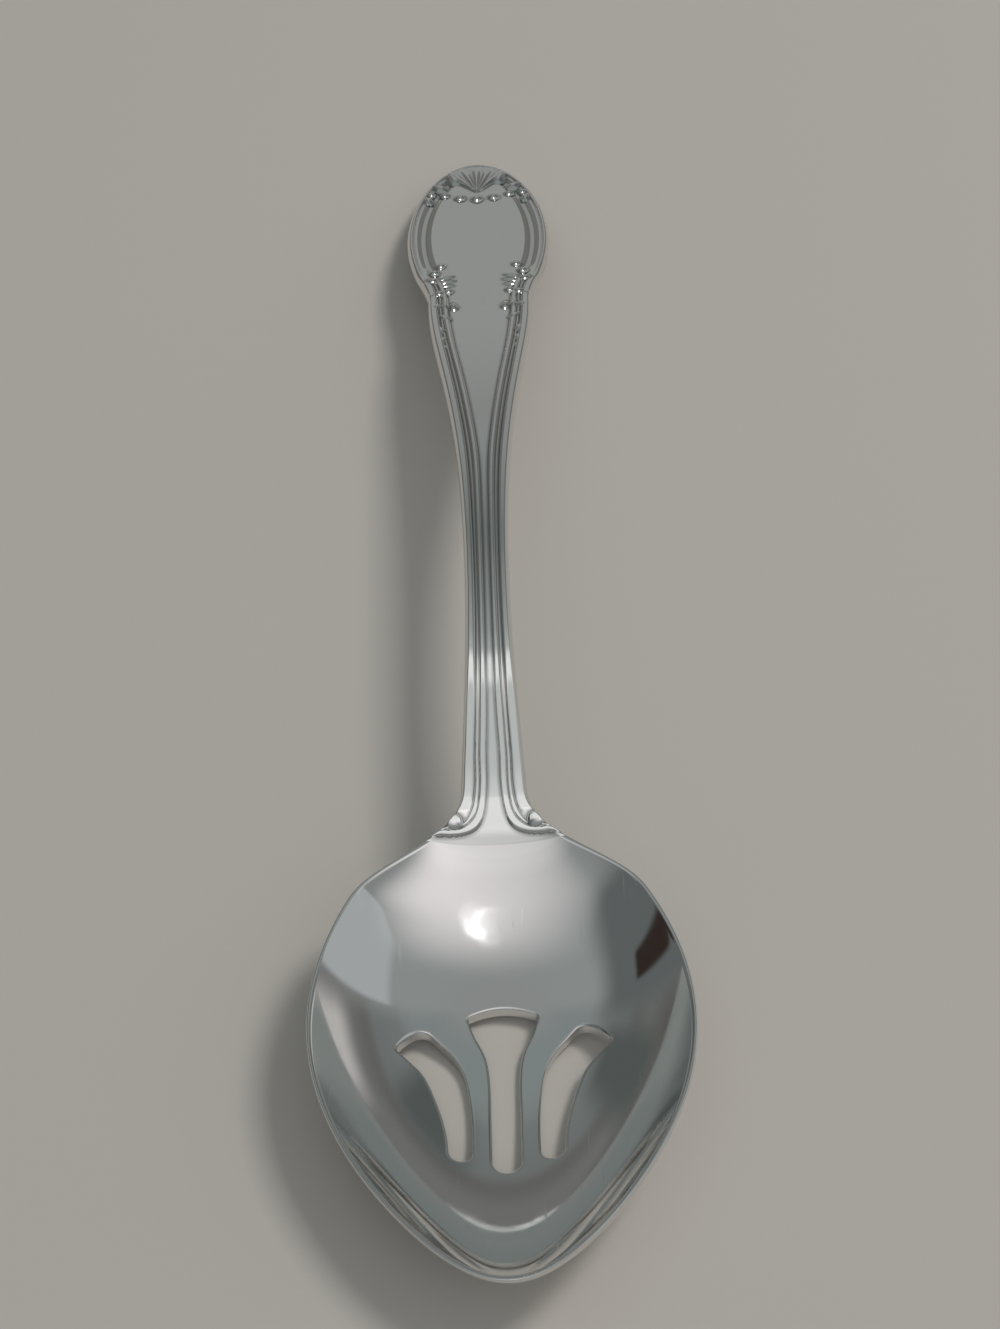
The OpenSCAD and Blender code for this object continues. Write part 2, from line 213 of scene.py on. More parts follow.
def skin(x, s, side, raised=plain):
    """Points and normals on the face or the back, rounded off where they near the outline."""
    x, s = np.asarray(x, float), np.asarray(s, float)

    def slope(f):
        return np.stack([f(x + step, s) - f(x - step, s), f(x, s + step) - f(x, s - step)]) / (2 * step)

    inset = edge_in(x, s)
    fall = np.clip(1 - inset / rounding(s), 0, 1)
    share = np.sqrt(1 - fall ** 2)
    metal = metal_above(x, s, side, raised)
    height = middle_height(x, s) + side * metal * share
    along = side * share * slope(middle_height) + share ** 2 * slope(
        lambda a, b: metal_above(a, b, side, raised)) + metal * fall / rounding(s) * slope(edge_in)
    normal = np.stack([-along[0], -along[1], side * share], -1)
    if side < 0:
        flat = height < 0
        height = np.maximum(height, 0)
        normal[flat] = (0, 0, -1)
    normal /= np.linalg.norm(normal, axis=-1, keepdims=True)
    return np.stack([x, s, height], -1), normal


def forged_piece(name, points, normals, faces, caps, material):
    """Closed piece of metal. Its normals come from the whole forging, so no seam shows."""
    mesh = bpy.data.meshes.new(name)
    points = np.asarray(points) - (0, spoon_l / 2, 0)
    mesh.from_pydata((points * mm).tolist(), [], faces + [loop for loop, _ in caps])
    mesh.polygons.foreach_set("use_smooth", [True] * len(mesh.polygons))
    corners = np.zeros(len(mesh.loops), int)
    mesh.loops.foreach_get("vertex_index", corners)
    split = np.asarray(normals)[corners]
    end = len(mesh.loops)
    for loop, facing in reversed(caps):
        split[end - len(loop):end] = facing
        end -= len(loop)
    mesh.normals_split_custom_set(split.tolist())
    mesh.materials.append(material)
    piece = bpy.data.objects.new(name, mesh)
    bpy.context.scene.collection.objects.link(piece)
    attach(piece, "root")
    return piece


def through(points, steps, upright_at=None):
    """Smooth curve that passes through every point, upright at its start (0) or its end (-1)."""
    p = np.asarray(points, float)
    p = np.concatenate([p[:1], p, p[-1:]])
    if upright_at is not None:
        p[upright_at, 1] -= slot_w
    t = np.linspace(0, 1, steps, endpoint=False)[:, None]
    runs = [p[i] + t / 2 * (p[i + 1] - p[i - 1] + t * (2 * p[i - 1] - 5 * p[i] + 4 * p[i + 1] - p[i + 2]
            + t * (3 * p[i] - p[i - 1] - 3 * p[i + 1] + p[i + 2]))) for i in range(1, len(p) - 2)]
    return np.concatenate(runs + [p[-2:-1]])


def arched(a, b, rise, steps=16):
    """Shallow arch from one point to another."""
    t = np.linspace(0, 1, steps + 1)[:, None]
    a, b = np.asarray(a), np.asarray(b)
    return a + (b - a) * t + np.array([0, 4 * rise]) * t * (1 - t)


def softened(before, after, reach, steps=6):
    """Small round corner between two runs of points that meet."""
    corner = after[0]
    from_here = np.linalg.norm(before - corner, axis=1) > reach
    to_there = np.linalg.norm(after - corner, axis=1) > reach
    a = corner + (before[from_here][-1] - corner) * reach / np.linalg.norm(before[from_here][-1] - corner)
    b = corner + (after[to_there][0] - corner) * reach / np.linalg.norm(after[to_there][0] - corner)
    t = np.linspace(0, 1, steps + 1)[:, None]
    bend = a * (1 - t) ** 2 + 2 * corner * t * (1 - t) + b * t ** 2
    return before[from_here], bend, after[to_there]


def even_loop(points, spacing):
    """Closed loop with its points evenly spaced."""
    ring = np.concatenate([points, points[:1]])
    lengths = np.linalg.norm(np.diff(ring, axis=0), axis=1)
    keep = np.concatenate([lengths > touching, [True]])
    ring = ring[keep]
    run = np.concatenate([[0], np.cumsum(np.linalg.norm(np.diff(ring, axis=0), axis=1))])
    at = np.linspace(0, run[-1], int(run[-1] / spacing) + 1)[:-1]
    return np.stack([np.interp(at, run, ring[:, k]) for k in (0, 1)], -1)


slot_w, slot_top_w, slot_l, slot_from_tip = 3.5, 8.9, 22.8, 20.5
web_w, side_slot_w, side_slot_l, side_slot_lean, side_slot_up = 2.4, 2.9, 18.6, 7.8, 1.8
slot_corner, crown_rise, slot_steps = 0.3, 0.05, 12
middle_flank = [(1, 0.36), (1.03, 0.61), (1.3, 0.77), (2.06, 0.9)]
side_flank = [(0.02, 1.1, 0.25), (0.09, 1.35, 0.45), (0.22, 1.7, 0.66), (0.385, 2.1, 0.77)]
side_corners = [(1, 0.845), (0.47, 1), (0.37, 0.96), (0.13, 0.86)]


def round_end(r, steps=24):
    """Half circle at a slot's lower end."""
    turn = np.linspace(-math.pi, 0, steps + 1)[1:-1, None]
    return np.concatenate([r * np.cos(turn), r + r * np.sin(turn)], 1)


def middle_slot():
    r = slot_w / 2
    top = (slot_top_w / 2, slot_l)
    flank = [(a * r, b * slot_l) for a, b in middle_flank]
    right = through([(r, r)] + flank + [top], slot_steps, upright_at=0)
    left = (right * (-1, 1))[::-1]
    crown = arched(top, (-top[0], top[1]), crown_rise * slot_l)
    right, bend_right, crown = softened(right, crown, slot_corner)
    crown, bend_left, left = softened(crown, left, slot_corner)
    return np.concatenate([round_end(r), right, bend_right, crown, bend_left, left]) + (0, slot_from_tip)


def side_slot():
    r = side_slot_w / 2
    corners = [(a * side_slot_lean, b * side_slot_l) for a, b in side_corners]
    outer = [(a * side_slot_lean + b * r, c * side_slot_l) for a, b, c in side_flank]
    inner = [(a * side_slot_lean - b * r, c * side_slot_l) for a, b, c in reversed(side_flank)]
    outer = through([(r, r)] + outer + [corners[0]], slot_steps, upright_at=0)
    crown = arched(corners[0], corners[1], crown_rise * side_slot_l)
    inner = through(corners[1:] + inner + [(-r, r)], slot_steps, upright_at=-1)
    outer, bend_outer, crown = softened(outer, crown, slot_corner)
    crown, bend_inner, inner = softened(crown, inner, 2 * slot_corner)
    at = (slot_w / 2 + web_w + side_slot_w / 2, slot_from_tip + side_slot_up)
    return np.concatenate([round_end(r), outer, bend_outer, crown, bend_inner, inner]) + at


def loop_normals(loop):
    """Directions that point out of a closed anticlockwise loop, smoothed a little."""
    run = np.roll(loop, -1, 0) - np.roll(loop, 1, 0)
    out = np.stack([run[:, 1], -run[:, 0]], -1)
    out = np.roll(out, 1, 0) + 2 * out + np.roll(out, -1, 0)
    return out / np.linalg.norm(out, axis=1, keepdims=True)


def inside(points, loop):
    """Which points lie inside a closed loop."""
    x, y = points[:, 0, None], points[:, 1, None]
    x0, y0 = loop[None, :, 0], loop[None, :, 1]
    x1, y1 = np.roll(x0, -1, 1), np.roll(y0, -1, 1)
    with np.errstate(divide="ignore", invalid="ignore"):
        crosses = ((y0 > y) != (y1 > y)) & (x < (x1 - x0) * (y - y0) / (y1 - y0) + x0)
    return crosses.sum(1) % 2 == 1


def bowl_rim(spacing, samples=3000):
    """The outline from the right end of the cut round the tip to the left end of the cut."""
    s = bowl_end * np.sin(np.linspace(math.pi / 2, 0, samples)) ** 2
    x = half_width(s)
    x[-1] = 0
    run = np.concatenate([[0], np.cumsum(np.hypot(np.diff(x), np.diff(s)))])
    at = np.linspace(0, run[-1], int(run[-1] / spacing) + 1)
    right = np.stack([np.interp(at, run, x), np.interp(at, run, s)], -1)
    return np.concatenate([right, (right * (-1, 1))[-2::-1]])


# How closely the bowl's points lie, and how far its rim and the slots' edges are turned over
grid, row_gap, rim_spacing, rim_rings, rim_margin, level_run = 0.6, 0.866, 0.45, 9, 1.6, 6
slot_spacing, edge_rings, edge_reach, edge_drop, back_edge = 0.22, 7, 0.45, 0.3, 0.15
field_apart, half_row = 0.55, 60


def bowl_mesh():
    """The bowl's closed mesh, with its rim, its slots and the cut where the neck goes on."""
    points, normals, faces = [], [], []

    def add(new_points, new_normals):
        start = sum(len(p) for p in points)
        points.append(new_points)
        normals.append(new_normals)
        return start + np.arange(len(new_points))

    # The rolled rim: rings of points that close in from the outline, above and below
    rim = bowl_rim(rim_spacing)
    run = np.gradient(rim, axis=0)
    inward = np.stack([run[:, 1], -run[:, 0]], -1)
    inward /= np.linalg.norm(inward, axis=1, keepdims=True)
    level = ease((rim[:, 1] - bowl_end + level_run) / level_run)[:, None]
    heading = inward * (1 - level) + level * np.sign(rim[:, :1]) * (-1, 0)
    heading /= np.linalg.norm(heading, axis=1, keepdims=True)
    heading /= np.sum(heading * inward, axis=1, keepdims=True)
    depths = rim_round * (1 - np.cos(np.linspace(0, math.pi / 2, rim_rings)))
    plan = [rim + heading * d for d in np.concatenate([depths, [rim_margin * rim_round]])]
    place, facing = skin(rim[:, 0], rim[:, 1], 1)
    above = [add(place, facing)]
    below = [above[0]]
    for ring in plan[1:]:
        above.append(add(*skin(ring[:, 0], ring[:, 1], 1)))
        below.append(add(*skin(ring[:, 0], ring[:, 1], -1)))
    for rings, turned in ((above, False), (below, True)):
        for a, b in zip(rings, rings[1:]):
            corners = [a[:-1], a[1:], b[1:], b[:-1]] if turned else [a[:-1], b[:-1], b[1:], a[1:]]
            faces.extend(np.stack(corners, 1).tolist())

    # The slots: their edges are rolled over on the face and only broken on the back
    right = side_slot()
    loops = [even_loop(p, slot_spacing) for p in (middle_slot(), right, (right * (-1, 1))[::-1])]
    turn = np.linspace(0, math.pi / 2, edge_rings)
    outer_above, outer_below, outer_plan = [], [], []
    for loop in loops:
        out = loop_normals(loop)

        def edge(offset, drop, lean_out, side):
            at = loop + out * offset
            place, facing = skin(at[:, 0], at[:, 1], side)
            place[:, 2] -= side * drop
            wall = np.concatenate([-out, np.zeros((len(out), 1))], 1)
            facing = facing * math.cos(lean_out) + wall * math.sin(lean_out)
            return add(place, facing / np.linalg.norm(facing, axis=1, keepdims=True))

        rings = [edge(edge_reach * (1 - math.sin(a)), edge_drop * (1 - math.cos(a)),
                      math.atan2(math.sin(a) / edge_reach, math.cos(a) / edge_drop), 1) for a in turn]
        rings += [edge(back_edge * (1 - math.sin(a)), back_edge * (1 - math.cos(a)), a, -1)
                  for a in turn[::-2]]
        rings.append(edge(edge_reach, 0, 0, -1))
        for a, b in zip(rings, rings[1:]):
            quads = np.stack([a, np.roll(a, -1), np.roll(b, -1), b], 1)
            faces.extend(quads.tolist())
        outer_above.append(rings[0])
        outer_below.append(rings[-1])
        outer_plan.append(loop + out * edge_reach)

    # The open metal between them: one net of triangles for the face and the same for the back
    last = plan[-1]
    across = np.linspace(last[-1], last[0], int(2 * last[0, 0] / grid) + 1)[1:-1]
    border = np.concatenate([last, across])
    rows = np.arange(0, bowl_end, grid * row_gap)
    row = np.arange(-half_row, half_row)
    field = np.concatenate([np.stack([(row + 0.5 * (k % 2)) * grid, np.full(len(row), s)], -1)
                            for k, s in enumerate(rows)])
    fixed = np.concatenate([border] + outer_plan)
    field = field[inside(field, border)]
    for loop in outer_plan:
        field = field[~inside(field, loop)]
    apart = [np.hypot(*(fixed - p).T).min() for p in field]
    field = field[np.array(apart) > field_apart * grid]
    plan_points = np.concatenate([fixed, field])
    edges, start = [], 0
    for loop in [border] + outer_plan:
        edges += [(start + i, start + (i + 1) % len(loop)) for i in range(len(loop))]
        start += len(loop)
    net = delaunay_2d_cdt([tuple(p) for p in plan_points], edges, [], 0, touching)
    source = [origin[0] for origin in net[3]]
    triangles = np.array([[source[v] for v in face] for face in net[2]])
    centres = plan_points[triangles].mean(1)
    kept = inside(centres, border)
    for loop in outer_plan:
        kept &= ~inside(centres, loop)
    triangles = triangles[kept]
    for side, rim_ids, loop_ids in ((1, above[-1], outer_above), (-1, below[-1], outer_below)):
        inner = np.concatenate([across, field])
        new = add(*skin(inner[:, 0], inner[:, 1], side))
        ids = np.concatenate([rim_ids, new[:len(across)]] + loop_ids + [new[len(across):]])
        corner = plan_points[triangles]
        ahead = corner[:, 1] - corner[:, 0]
        aside = corner[:, 2] - corner[:, 0]
        anticlockwise = ahead[:, 0] * aside[:, 1] - ahead[:, 1] * aside[:, 0] > 0
        order = np.where((anticlockwise == (side > 0))[:, None], triangles, triangles[:, ::-1])
        faces.extend(ids[order].tolist())
        if side > 0:
            cut_above = [r[0] for r in above] + list(new[:len(across)][::-1]) + [r[-1] for r in above[::-1]]
        else:
            cut_below = [r[0] for r in below[1:]] + list(new[:len(across)][::-1]) + [
                r[-1] for r in below[:0:-1]]
    cap = [int(v) for v in cut_above + cut_below[::-1]]
    return np.concatenate(points), np.concatenate(normals), faces, [(cap[::-1], (0, 1, 0))]


# The finish of the whole forging. Buffing leaves a mirror with a faint uneven haze, and use adds fine
# hairlines. The grooves between the reeds are darkened with painted shade.
def node_group(name, inputs, outputs):
    group = bpy.data.node_groups.new(name, "ShaderNodeTree")
    for label, kind, value in inputs:
        socket = group.interface.new_socket(label, in_out="INPUT", socket_type=kind)
        if value is not None:
            socket.default_value = value
    for label in outputs:
        group.interface.new_socket(label, in_out="OUTPUT", socket_type="NodeSocketFloat")
    start = group.nodes.new("NodeGroupInput")
    end = group.nodes.new("NodeGroupOutput")
    return group, start.outputs, end.inputs


def wire(tree, kind, settings=None, **sockets):
    """A node with its settings and its sockets, which take a value or another node's output."""
    node = tree.nodes.new(kind)
    for key, value in (settings or {}).items():
        setattr(node, key, value)
    for key, value in sockets.items():
        socket = node.inputs[int(key[1:])] if key[0] == "n" and key[1:].isdigit() else node.inputs[
            key.replace("_", " ")]
        if isinstance(value, bpy.types.NodeSocket):
            tree.links.new(value, socket)
        else:
            socket.default_value = value
    return node.outputs


def make_buffing_haze():
    """Uneven haze that a buffing wheel leaves: a value from 0, clear, to 1, dull."""
    group, given, result = node_group("buffing_haze", [("Place", "NodeSocketVector", None),
                                                       ("Patch size mm", "NodeSocketFloat", 12.0)],
                                      ["Haze"])
    size = wire(group, "ShaderNodeMath", {"operation": "DIVIDE"}, n0=1 / mm, n1=given["Patch size mm"])[0]
    wide = wire(group, "ShaderNodeTexNoise", Vector=given["Place"], Scale=size, Detail=3.0)[0]
    times_finer = 7.0
    fine_size = wire(group, "ShaderNodeMath", {"operation": "MULTIPLY"}, n0=size, n1=times_finer)[0]
    fine = wire(group, "ShaderNodeTexNoise", Vector=given["Place"], Scale=fine_size, Detail=4.0)[0]
    both = wire(group, "ShaderNodeMath", {"operation": "MULTIPLY"}, n0=wide, n1=fine)[0]
    spread = wire(group, "ShaderNodeMapRange", Value=both, From_Min=0.12, From_Max=0.42)[0]
    group.links.new(spread, result["Haze"])
    return group


def make_hairlines():
    """Fine straight scratches in three directions: 1 on a scratch, 0 beside it."""
    group, given, result = node_group("hairlines", [("Place", "NodeSocketVector", None),
                                                    ("Share", "NodeSocketFloat", 0.5)], ["Scratch"])
    found = None
    for turn, across, along in ((25, 1.7, 0.09), (98, 2.1, 0.12), (152, 1.4, 0.07)):
        laid = wire(group, "ShaderNodeMapping", {"vector_type": "POINT"}, Vector=given["Place"],
                    Rotation=(0, 0, math.radians(turn)), Scale=(across / mm, along / mm, 0.1 / mm))[0]
        streak = wire(group, "ShaderNodeTexNoise", Vector=laid, Scale=1.0, Detail=1.0)[0]
        line = wire(group, "ShaderNodeMapRange", Value=streak, From_Min=0.735, From_Max=0.79)[0]
        found = line if found is None else wire(group, "ShaderNodeMath", {"operation": "MAXIMUM"},
                                                n0=found, n1=line)[0]
    here = wire(group, "ShaderNodeTexNoise", Vector=given["Place"], Scale=0.11 / mm, Detail=2.0)[0]
    worn = wire(group, "ShaderNodeMapRange", Value=here, From_Min=0.42, From_Max=0.62)[0]
    part = wire(group, "ShaderNodeMath", {"operation": "MULTIPLY"}, n0=found, n1=worn)[0]
    scratch = wire(group, "ShaderNodeMath", {"operation": "MULTIPLY"}, n0=part, n1=given["Share"])[0]
    group.links.new(scratch, result["Scratch"])
    return group


buffing_haze, hairlines = make_buffing_haze(), make_hairlines()
# Painted shade: the grooves between the reeds get this darker base colour, for the shade that falls in
# them.
steel, groove_shade_colour = (0.76, 0.76, 0.75, 1), (0.40, 0.41, 0.40, 1)
scratch_rough, scratch_deep = 0.25, 0.01


def polished_steel(name, clear, dull, scratched, patch_mm):
    """Bright stainless steel: how smooth it is where clear and where dull, and how scratched, with painted
    shade darkening its grooves.
    """
    material = bpy.data.materials.new(name)
    material.use_nodes = True
    tree = material.node_tree
    shader = tree.nodes["Principled BSDF"]
    shader.inputs["Metallic"].default_value = 1.0
    place = wire(tree, "ShaderNodeTexCoord")["Object"]
    haze = wire(tree, "ShaderNodeGroup", {"node_tree": buffing_haze}, Place=place,
                Patch_size_mm=patch_mm)[0]
    scratch = wire(tree, "ShaderNodeGroup", {"node_tree": hairlines}, Place=place, Share=scratched)[0]
    smooth = wire(tree, "ShaderNodeMapRange", Value=haze, To_Min=clear, To_Max=dull)[0]
    rough = wire(tree, "ShaderNodeMath", {"operation": "MULTIPLY_ADD"}, n0=scratch, n1=scratch_rough,
                 n2=smooth)[0]
    tree.links.new(rough, shader.inputs["Roughness"])
    # Painted shade: the base colour darkens with the depth of the groove, where shade falls.
    groove = wire(tree, "ShaderNodeAttribute", {"attribute_name": "groove"})["Fac"]
    shaded_base_colour = wire(tree, "ShaderNodeMix", {"data_type": "RGBA"}, Factor=groove, n6=steel, n7=groove_shade_colour)[2]
    tree.links.new(shaded_base_colour, shader.inputs["Base Color"])
    cut = wire(tree, "ShaderNodeBump", {"invert": True}, Strength=0.35, Distance=scratch_deep * mm,
               Height=scratch)[0]
    tree.links.new(cut, shader.inputs["Normal"])
    return material


bowl = forged_piece("dished_bowl", *bowl_mesh(),
                    polished_steel("bowl_mirror_steel", 0.035, 0.11, 0.8, 14.0))
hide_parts("bowl")


# The neck: where the die closed on the bowl's shoulders. The reeds of the stem curl outwards
# there, round a small raised knob on each side.
inner_share, thread_share = 0.31, 0.15
reed_band, reed_h, inner_h, thread_h = 3.2, 0.38, 0.32, 0.22
groove_round, panel_share = 0.1, 0.35
band_share, band_fillet, band_most = 0.85, 0.3, 0.9
outer_least, outer_from, outer_run = 0.2, 64.8, 1.6
knob_at, knob_r, knob_h = (5.2, 64.5), 1.25, 0.75
curl_x, curl_s, curl_bend = 0.42, 62.2, 3.0
curl_thins, curl_thins_from, curl_run, curl_least = 0.3, 2.5, 2.5, 0.05
crest_share = 0.62
uncurled_from, uncurled_run = 69, 7
pattern_run = 0.4


def round_reed(t):
    """Height of a broad-crested reed, from 0 at its sides (t = 0 and 1) to 1 along its crest."""
    return 1 - abs(np.clip(2 * t - 1, -1, 1)) ** 4


def band_width(s):
    """Width of the reeds' band on each side, which narrows with the stem."""
    w = half_width(s)
    return reed_band - soft_max(0, reed_band - band_share * w, band_fillet)


def from_panel(x, s):
    """Distance out from the edge of the smooth middle panel, in shares of the reeds' whole band."""
    w = half_width(s)
    slant = np.hypot(1, (half_width(s + step) - half_width(s - step)) / (2 * step))
    straight = 1 - (w - x) / slant / band_width(s)
    a, b = x - curl_x, s - curl_s
    curled_band = reed_band * (1 - curl_thins * ease((x - curl_thins_from) / curl_run))
    curled = (a * b - curl_bend) / np.hypot(a, b) / curled_band
    curled = np.where(b > curl_least, curled, -1)
    blend = ease((s - uncurled_from) / uncurled_run)
    return straight * blend + curled * (1 - blend)


def sharp_reeds(x, s):
    """The inner reed, the thread and the outer reed, from the panel out."""
    p = from_panel(abs(x), s)
    rim = np.maximum(from_panel(half_width(s), s), inner_share + thread_share + outer_least)
    i = p / inner_share
    t = (p - inner_share) / thread_share
    o = (p - inner_share - thread_share) / (rim - inner_share - thread_share)
    full_to_rim = 0.5 + crest_share * (o - 0.5)
    outer = reed_h * round_reed(np.where(o > 0.5, full_to_rim, o)) * ease((s - outer_from) / outer_run)
    return np.maximum(np.maximum(thread_h * round_reed(t), inner_h * round_reed(i)), outer)


def reeds(x, s):
    """The reeds as struck and buffed, with no sharp line at the foot of a groove."""
    return (2 * sharp_reeds(x, s) + sharp_reeds(x - groove_round, s) + sharp_reeds(x + groove_round, s)
            + sharp_reeds(x, s - groove_round) + sharp_reeds(x, s + groove_round)) / 6


def knob(x, s):
    """Round knob in the crook of each curl."""
    r = np.hypot(abs(x) - knob_at[0], s - knob_at[1]) / knob_r
    return knob_h * (1 - np.clip(r, 0, 1) ** 2) ** 0.7


def neck_pattern(x, s):
    return np.maximum(reeds(x, s), knob(x, s)) * ease((s - bowl_end) / pattern_run)


def groove_depth(x, s, raised, look=0.45, deep=0.12):
    """How deep a place lies between what stands up around it: 0 on top, 1 in a full groove."""
    around = [raised(x + look * math.cos(a), s + look * math.sin(a))
              for a in np.linspace(0, 2 * math.pi, 8, endpoint=False)]
    return np.clip((np.mean(around, 0) - raised(x, s)) / deep, 0, 1)


def stem_piece(name, stations, columns, raised, material, pointed=False, crowding=1.25):
    """Piece of the stem: a ring of points at each station, along the face and back under it."""
    share, face_s = np.meshgrid(np.linspace(-1, 1, 2 * columns + 1), stations)
    w = half_width(face_s)
    slant = np.hypot(1, (half_width(face_s + step) - half_width(face_s - step)) / (2 * step))
    band = np.minimum(band_width(face_s) * slant, band_most * w)
    in_panel = (w - band) * abs(share) / panel_share
    in_band = w - band * np.clip((1 - abs(share)) / (1 - panel_share), 0, 1) ** crowding
    face_x = np.sign(share) * np.where(abs(share) < panel_share, in_panel, in_band)
    under = np.sin(np.linspace(math.pi / 2, -math.pi / 2, columns // 2 * 2 + 1))[1:-1]
    back_x, back_s = np.meshgrid(under, stations)
    back_x = back_x * half_width(back_s)
    face = skin(face_x, face_s, 1, raised)
    back = skin(back_x, back_s, -1)
    points = np.concatenate([face[0], back[0]], 1)
    normals = np.concatenate([face[1], back[1]], 1)
    # The depth in the grooves is kept on the points, for the painted shade there.
    painted_groove_shade = np.concatenate([groove_depth(face_x, face_s, raised), 0 * back_x], 1)
    rows, around = points.shape[:2]
    if pointed:
        rows -= 1
        tip = points[-1, columns]
    ids = np.arange(rows * around).reshape(rows, around)
    a, b = ids[:-1], np.roll(ids, -1, 1)[:-1]
    c, d = np.roll(ids, -1, 1)[1:], ids[1:]
    faces = np.stack([a, b, c, d], -1).reshape(-1, 4).tolist()
    caps = [(ids[0][::-1].tolist(), (0, -1, 0))]
    points, normals = points[:rows].reshape(-1, 3), normals[:rows].reshape(-1, 3)
    painted_groove_shade = painted_groove_shade[:rows].ravel()
    if pointed:
        points, normals = np.concatenate([points, [tip]]), np.concatenate([normals, [(0, 1, 0)]])
        painted_groove_shade = np.append(painted_groove_shade, 0)
        last = ids[-1]
        faces += [[int(p), int(q), len(points) - 1] for p, q in zip(last, np.roll(last, -1))]
    else:
        caps.append((ids[-1].tolist(), (0, 1, 0)))
    piece = forged_piece(name, points, normals, faces, caps, material)
    piece.data.attributes.new("groove", "FLOAT", "POINT").data.foreach_set("value", painted_groove_shade)
    return piece


neck = stem_piece("scrolled_neck", np.linspace(bowl_end, neck_end, 130), 100, neck_pattern,
                  polished_steel("neck_mirror_steel", 0.04, 0.12, 0.7, 9.0))
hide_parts("neck")


# The shank: the narrow arched stem. Two reeds and a fine thread run along each side of a smooth
# panel, struck in the same blow as the rest.
shank = stem_piece("reeded_shank", np.linspace(neck_end, shank_end, 120), 56, reeds,
                   polished_steel("shank_mirror_steel", 0.045, 0.13, 0.7, 9.0))
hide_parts("shank")


# The handle's end: a flat oval with a raised border, leaves and beads at its shoulders and a
# shell at its crest, struck in the same dies. It is a little duller and more scratched than the rest.
border_w, border_h, cove_w, cove_h = 1.1, 0.2, 4.0, 0.3
leaf_h, bead_h, bead_w = 0.5, 0.55, 1.9
reeds_stop, reeds_fade = oval_mid - 0.33 * oval_l, 6


def dome(x, s, at, width, height):
    """Round bead with steep sides."""
    r = np.hypot(x - at[0], s - at[1]) / (width / 2)
    return height * (1 - np.clip(r, 0, 1) ** 2) ** 0.65


def leaf(x, s, at, length, width, turn, height):
    """Pointed lobe, broad at its foot, that lies along a direction turned from the handle's line."""
    turn = math.radians(turn)
    along = ((x - at[0]) * math.sin(turn) + (s - at[1]) * math.cos(turn)) / (length / 2)
    aside = ((x - at[0]) * math.cos(turn) - (s - at[1]) * math.sin(turn)) / (
        width / 2 * np.clip(1 - 0.35 * along, 0.2, 1.4))
    return height * np.maximum(1 - along ** 2 - aside ** 2, 0)


# Each bead has its place and width, and each leaf its place, length, width, turn and share of height
beads = [((0, 203.9), 2.1), ((2.7, 204.4), 2.0), ((5.2, 205.5), 1.7), ((7.4, 206.0), 1.5),
         ((5.85, 181.1), 1.6), ((6.85, 178.9), 1.8), ((7.1, 176.4), 1.8),
         ((4.7, 172.9), 1.6), ((6.1, 172.3), 1.9), ((7.35, 171.6), 1.6)]
leaves = [((3.7, 211.0), 4.4, 2.3, 22, 1), ((6.1, 208.2), 3.6, 2.2, 48, 1),
          ((7.9, 204.2), 3.0, 1.6, 10, 0.7),
          ((5.0, 177.3), 3.4, 1.1, -68, 0.6), ((4.9, 176.0), 3.6, 1.1, -76, 0.6),
          ((5.0, 174.7), 3.2, 1.1, -84, 0.6), ((3.95, 168.3), 2.8, 1.5, 8, 0.9),
          ((5.2, 168.4), 3.0, 1.6, 0, 1), ((6.5, 168.2), 2.8, 1.5, -8, 0.9),
          ((5.3, 164.9), 3.0, 1.7, 35, 0.8), ((5.85, 161.3), 2.8, 1.7, 12, 0.8),
          ((5.6, 158.6), 2.4, 1.4, 8, 0.7), ((5.3, 156.4), 2.0, 1.1, 8, 0.55)]
shell_foot, shell_l, shell_h, shell_spread, shell_ribs = 206.2, 9.2, 0.45, 46, 7
rib_depth, shell_side = 0.16, 10


def shell(x, s):
    """Fan of ribs that spreads to the handle's end."""
    r = np.hypot(x, s - shell_foot) / shell_l
    a = abs(np.degrees(np.arctan2(x, s - shell_foot)))
    rib = 1 - rib_depth + rib_depth * np.cos(math.pi * (shell_ribs - 1) * a / shell_spread)
    swell = np.sqrt(np.clip(np.sin(math.pi * np.clip(r, 0, 1)), 0, 1))
    side = ease((shell_spread - a) / shell_side)
    return shell_h * rib * swell * side * (s > shell_foot)


def oval_border(x, s):
    """Raised line along the edge, and the cove that sinks from it to the blank field."""
    q = edge_in(x, s)
    line = border_h * round_reed(q / border_w) * (q < border_w)
    cove = -cove_h * np.sin(math.pi * np.clip((q - border_w) / cove_w, 0, 1)) ** 2
    return line + cove


def end_pattern(x, s):
    """Reeds that give way to the oval's border, with the shell, beads and leaves struck over both."""
    x = abs(x)
    reeds_left = 1 - ease((s - reeds_stop + 1) / reeds_fade)
    border_grown = ease((s - reeds_stop - 2) / reeds_fade)
    ground = reeds(x, s) * reeds_left + oval_border(x, s) * border_grown
    ornament = shell(x, s)
    for at, width in beads:
        ornament = np.maximum(ornament, dome(x, s, at, width, bead_h * width / bead_w))
    for at, length, width, turn, share in leaves:
        ornament = np.maximum(ornament, leaf(x, s, at, length, width, turn, leaf_h * share))
    return np.where(ornament > 0, np.maximum(ground, ornament), ground)


tip_run = 4.0
stations = np.concatenate([np.linspace(shank_end, spoon_l - tip_run, 290, endpoint=False),
                           spoon_l - tip_run * (1 - np.sin(np.linspace(0, math.pi / 2, 24)))])
handle_end = stem_piece("ornamented_handle_end", stations, 84, end_pattern,
                        polished_steel("handle_mirror_steel", 0.05, 0.14, 0.9, 10.0), pointed=True)
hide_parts("handle_end")


